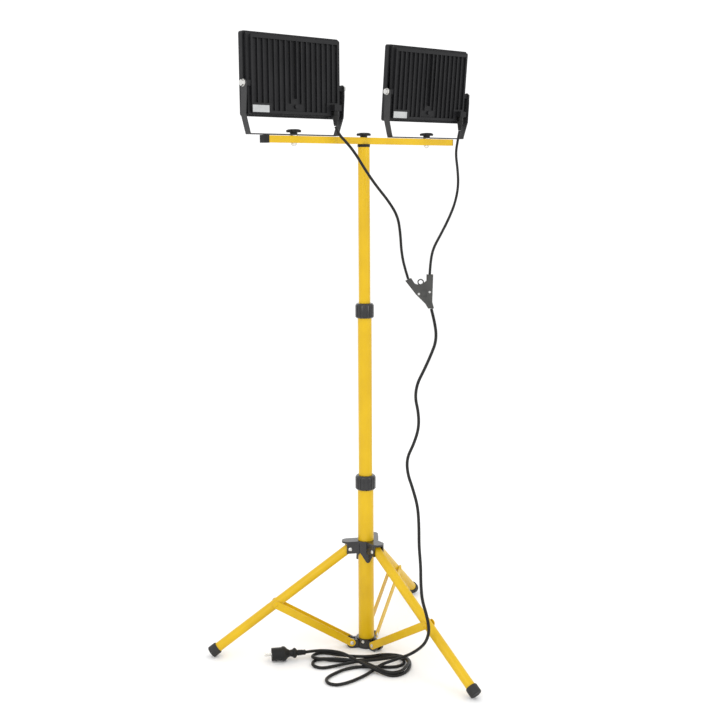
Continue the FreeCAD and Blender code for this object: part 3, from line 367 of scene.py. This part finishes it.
def gland(side):
    """Cable gland: six-sided cap, then a strain relief with rings."""
    low_corner, high_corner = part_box("left_gland")
    middle = (Vector(low_corner) + Vector(high_corner)) / 2
    top = Matrix.Translation((middle.x, middle.y, high_corner[2])) @ Matrix.Rotation(math.pi, 4, "X")
    outline = [(8.0, 0.0), (8.0, 9.0), (7.4, 9.8), (6.9, 10.2), (7.6, 11.0), (7.6, 19.0), (7.0, 19.8)]
    six_sided = (0, 1)
    ribs = 5
    rib_pitch = 3.1
    for n in range(ribs):
        start = 20.0 + rib_pitch * n
        radius = 6.9 - 0.5 * n
        groove = radius - 0.9
        outline += [(radius, start), (radius, start + 1.9), (groove, start + 2.2), (groove, start + 2.9)]
    outline.append((4.2, 36.0))
    body = NODES[f"{side}_gland"]["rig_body"]
    obj = lathe(f"{side}_gland_turned", outline, lamp_lean(side) @ top, SATIN_BLACK, body,
                48, six_sided)
    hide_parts(f"{side}_gland")


def small_box(bm, centre, half, top_inset=0.0):
    """A box whose +Y face is drawn in by top_inset."""
    corners = {}
    for x in (-1, 1):
        for y in (-1, 1):
            for z in (-1, 1):
                inset = top_inset if y > 0 else 0.0
                offset = Vector((x * (half[0] - inset), y * half[1], z * (half[2] - inset)))
                corners[x, y, z] = bm.verts.new(Vector(centre) + offset)
    for face in (
        [(-1, -1, -1), (-1, -1, 1), (-1, 1, 1), (-1, 1, -1)],
        [(1, -1, -1), (1, 1, -1), (1, 1, 1), (1, -1, 1)],
        [(-1, -1, -1), (-1, 1, -1), (1, 1, -1), (1, -1, -1)],
        [(-1, -1, 1), (1, -1, 1), (1, 1, 1), (-1, 1, 1)],
        [(-1, -1, -1), (1, -1, -1), (1, -1, 1), (-1, -1, 1)],
        [(-1, 1, -1), (-1, 1, 1), (1, 1, 1), (1, 1, -1)],
    ):
        bm.faces.new([corners[key] for key in face])


def led_array(side):
    """Rows of surface-mounted LEDs on the board: white bodies with a yellow window each."""
    low_corner, high_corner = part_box("left_led_board")
    front = high_corner[1]
    _, driver_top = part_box("left_driver")
    left = low_corner[0] + 12 * MM
    right = high_corner[0] - 12 * MM
    bottom = driver_top[2] + 10 * MM
    top = high_corner[2] - 10 * MM
    columns = 16
    rows = 8
    bodies = bmesh.new()
    windows = bmesh.new()
    for i in range(columns):
        for j in range(rows):
            x = left + (right - left) * i / (columns - 1)
            z = bottom + (top - bottom) * j / (rows - 1)
            small_box(bodies, (x, front + 0.4 * MM, z), (2.8 * MM, 0.4 * MM, 1.5 * MM), 0.15 * MM)
            small_box(windows, (x, front + 0.83 * MM, z), (2.1 * MM, 0.06 * MM, 1.05 * MM))
    for name, bm, material in (("led_bodies", bodies, BOARD), ("led_windows", windows, PHOSPHOR)):
        bm.transform(lamp_lean(side))
        mesh = bpy.data.meshes.new(name)
        bm.to_mesh(mesh)
        bm.free()
        obj = new_piece(f"{side}_{name}", mesh, material, NODES[f"{side}_led_board"]["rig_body"])


def reflector(side):
    """White sloped frame between the board and the glass."""
    low_corner, high_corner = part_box("left_led_board")
    glass_low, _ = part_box("left_glass")
    seal_low, seal_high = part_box("left_seal")
    inner = (low_corner[0] + 5 * MM, high_corner[0] - 5 * MM,
             low_corner[2] + 2 * MM, high_corner[2] - 4 * MM)
    rim = 6 * MM
    outer = (seal_low[0] + rim, seal_high[0] - rim, seal_low[2] + rim, seal_high[2] - rim)
    depths = (high_corner[1] + 0.1 * MM, glass_low[1] - 0.6 * MM)
    bm = bmesh.new()
    rings = []
    for (x0, x1, z0, z1), y in zip((inner, outer), depths):
        rings.append([bm.verts.new((x, y, z)) for x, z in ((x0, z0), (x1, z0), (x1, z1), (x0, z1))])
    quads_around(bm, rings)
    bm.transform(lamp_lean(side))
    mesh = bpy.data.meshes.new("reflector")
    bm.to_mesh(mesh)
    bm.free()
    obj = new_piece(f"{side}_reflector", mesh, BOARD, NODES[f"{side}_led_board"]["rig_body"])
    sheet = obj.modifiers.new("sheet", "SOLIDIFY")
    sheet.thickness = 0.4 * MM


for side in LAMPS:
    gland(side)
    led_array(side)
    reflector(side)

# ------------------------------------------------------------ cords, in millimetres from each exit

LEFT_LEAD = [(-111.5, -20, 1378.4), (-106, -24, 1360), (-89, -34, 1341), (-70, -47, 1312),
             (-49, -57, 1275), (-20, -66, 1235), (12, -77, 1197), (39, -83, 1158), (54, -77, 1113),
             (66, -68, 1071), (82, -61, 1032), (96.5, -62.5, 995)]
RIGHT_LEAD = [(343.5, -12, 1377.4), (336, -13, 1354), (322, -18, 1317), (319, -29, 1273),
              (308, -42, 1230), (285, -52, 1186), (250, -61, 1144), (209, -71, 1105), (172, -80, 1072),
              (150, -91, 1040), (138.5, -99.5, 1007)]
MAINS = [(141, -103, 916.6), (148, -112, 874), (145, -118, 833), (129, -114, 797), (110, -108, 759),
         (91, -101, 724), (82, -103, 688), (81, -116, 653), (75, -124, 613), (58, -122, 572),
         (38, -117, 538), (32, -125, 500), (32, -145, 462), (27, -168, 420), (15, -184, 373),
         (1, -198, 327), (-12, -217, 284), (-29, -234, 248), (-47, -256, 214), (-55, -281, 182),
         (-55, -290, 145), (-52, -274, 108), (-45, -237, 74), (-41, -196, 45), (-48, -158, 24),
         (-76, -137, 13)]
# the loose coil on the floor, from where the cable lands to where the tail leaves
LONG_LOOP = [(-108, -137, 5), (-138, -142, 4.2), (-174, -144, 4.2), (-206, -141, 4.2), (-227, -132, 4.2),
             (-235, -113, 4.2), (-227, -93, 4.2), (-208, -83, 4.2), (-181, -80, 4.2), (-154, -79, 4.2),
             (-127, -86, 4.2)]
INNER_LOOP = [(-104, -101, 4.2), (-80, -125, 4.2), (-59, -149, 4.2), (-37, -163, 4.2), (-13, -160, 4.2),
              (4, -140, 4.2), (0, -114, 4.2), (-20, -96, 4.2), (-50, -84, 4.2), (-80, -69, 4.2),
              (-116, -44, 4.2), (-139, -13, 4.2), (-149, 7, 4.2), (-169, 15, 4.2), (-189, 6, 4.2),
              (-197, -15, 4.2), (-187, -36, 4.2), (-162, -45, 4.2), (-135, -60, 7), (-108, -79, 12.4),
              (-72, -103, 12.4), (-40, -119, 12.4)]
UPPER_RING = [(-12, -130, 12.4), (0, -152, 12.4), (-12, -176, 12.4), (-38, -191, 12.4), (-64, -200, 12.4),
              (-87, -193, 12.4), (-98, -171, 12.4), (-96, -137, 12.4), (-97, -101, 12.4), (-110, -66, 12.4),
              (-134, -32, 12.4), (-155, -12, 12.4), (-170, 6, 11), (-169, 30, 7), (-151, 44, 4.2),
              (-129, 41, 4.2), (-115, 21, 4.4)]
OUTER_RING = [(-109, -7, 7), (-98, -44, 12.4), (-68, -78, 12.4), (-31, -86, 9), (-4, -93, 4.4),
              (11, -115, 4.2), (15, -142, 4.2), (4, -163, 4.2), (-14, -181, 4.2), (-35, -195, 4.2),
              (-58, -201, 4.2), (-81, -198, 4.2), (-95, -181, 5), (-102, -157, 9), (-105, -130, 12.4),
              (-107, -98, 13.5), (-109, -66, 17)]
TAIL = [(-107, -28, 17.5), (-109, 1, 14), (-123, 29, 12.4), (-148, 43, 14.5), (-178, 44, 19.6)]
LEAD = 7 * MM
CABLE = 8 * MM
PLUG_WAY = Vector((-73, 48, 0)).normalized()


def in_metres(point):
    return tuple(c * MM for c in point)


def cord_curve(name, points, diameter, body, nodes):
    """A smooth cord along a route, which stands for the CAD's plain tubes."""
    curve = bpy.data.curves.new(name, "CURVE")
    curve.dimensions = "3D"
    spline = curve.splines.new("NURBS")
    spline.points.add(len(points) - 1)
    for point, place in zip(spline.points, points):
        point.co = (*in_metres(place), 1.0)
    spline.order_u = 3
    spline.use_endpoint_u = True
    spline.resolution_u = 10
    curve.bevel_depth = diameter / 2
    curve.bevel_resolution = 6
    curve.use_fill_caps = True
    obj = bpy.data.objects.new(name, curve)
    scene.collection.objects.link(obj)
    curve.materials.append(SHEATH)
    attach(obj, body)
    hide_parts(*nodes)
    return obj


def plug_relief():
    """Rings of the plug's strain relief, over its plain cone."""
    end = Vector(in_metres(TAIL[-1]))
    place = Matrix.Translation(end) @ PLUG_WAY.to_track_quat("Z", "Y").to_matrix().to_4x4()
    body = NODES["plug_body"]["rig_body"]
    pitch = 4.0
    rings = []
    for n in range(5):
        start = 2.0 + pitch * n
        radius = 6.9 + 0.22 * n
        foot = radius - 1.2
        outline = [(foot, start - 0.4), (radius, start), (radius, start + 1.8), (foot, start + 2.2)]
        rings.append(lathe(f"plug_ring_{n + 1}", outline, place, SATIN_BLACK, body, 32))
    return rings


left_lead = cord_curve("left_lamp_lead", LEFT_LEAD, LEAD, "head", ["left_lead"])
right_lead = cord_curve("right_lamp_lead", RIGHT_LEAD, LEAD, "head", ["right_lead"])
mains = cord_curve(
    "mains_lead", MAINS + LONG_LOOP + INNER_LOOP + UPPER_RING + OUTER_RING + TAIL, CABLE, "base",
    ["mains_cable", "cord_hank"],
)
plug_relief()

# ------------------------------------------------------------ stage


def area_light(name, place, target, width, height, power):
    data = bpy.data.lights.new(name, "AREA")
    data.shape = "RECTANGLE"
    data.size = width
    data.size_y = height
    data.energy = power
    obj = bpy.data.objects.new(name, data)
    scene.collection.objects.link(obj)
    obj.location = place
    obj.rotation_mode = "QUATERNION"
    obj.rotation_quaternion = (Vector(target) - Vector(place)).to_track_quat("-Z", "Y")


def stage():
    """Pale floor, white surroundings and soft lamps."""
    mesh = bpy.data.meshes.new("floor")
    reach = 30
    gap_below_part = 0.5 * MM
    corners = [(-reach, -reach, 0), (reach, -reach, 0), (reach, reach, 0), (-reach, reach, 0)]
    mesh.from_pydata(corners, [], [(0, 1, 2, 3)])
    floor = bpy.data.objects.new("floor", mesh)
    scene.collection.objects.link(floor)
    floor.location.z = -gap_below_part
    material, tree, surface, place = new_material("pale_floor", 0.85)
    tone = mix(tree, noise(tree, place, 2, 2), (0.93, 0.93, 0.93), (0.95, 0.95, 0.95))
    tree.links.new(tone, surface.inputs["Base Color"])
    mesh.materials.append(material)
    world = bpy.data.worlds.new("studio")
    world.use_nodes = True
    background = world.node_tree.nodes["Background"]
    socket(background, "Color", (1, 1, 1, 1))
    socket(background, "Strength", 1.12)
    scene.world = world
    area_light("key", (-3.0, -1.2, 2.4), (0, 0, 1.0), 1.2, 2.0, 20)
    area_light("fill", (0.4, -3.2, 2.0), (0, 0, 0.9), 1.0, 2.0, 12)
    area_light("back", (1.5, 2.6, 2.6), (0, 0, 1.0), 2.0, 1.4, 12)


stage()

CAMERA_PLACE = (-1.9593, -2.1186, 1.2634)
CAMERA_TURN = math.radians(-42.51)
CAMERA_PITCH = math.radians(9.40)
CAMERA_ROLL = math.radians(-0.35)
CAMERA_LENS = 56.127
camera_data = bpy.data.cameras.new("camera")
camera_data.sensor_width = 36
camera_data.lens = CAMERA_LENS
camera = bpy.data.objects.new("camera", camera_data)
scene.collection.objects.link(camera)
camera.matrix_world = (
    Matrix.Translation(CAMERA_PLACE)
    @ Matrix.Rotation(CAMERA_TURN, 4, "Z")
    @ Matrix.Rotation(math.pi / 2 - CAMERA_PITCH, 4, "X")
    @ Matrix.Rotation(CAMERA_ROLL, 4, "Z")
)
scene.camera = camera
scene.view_settings.view_transform = "Standard"
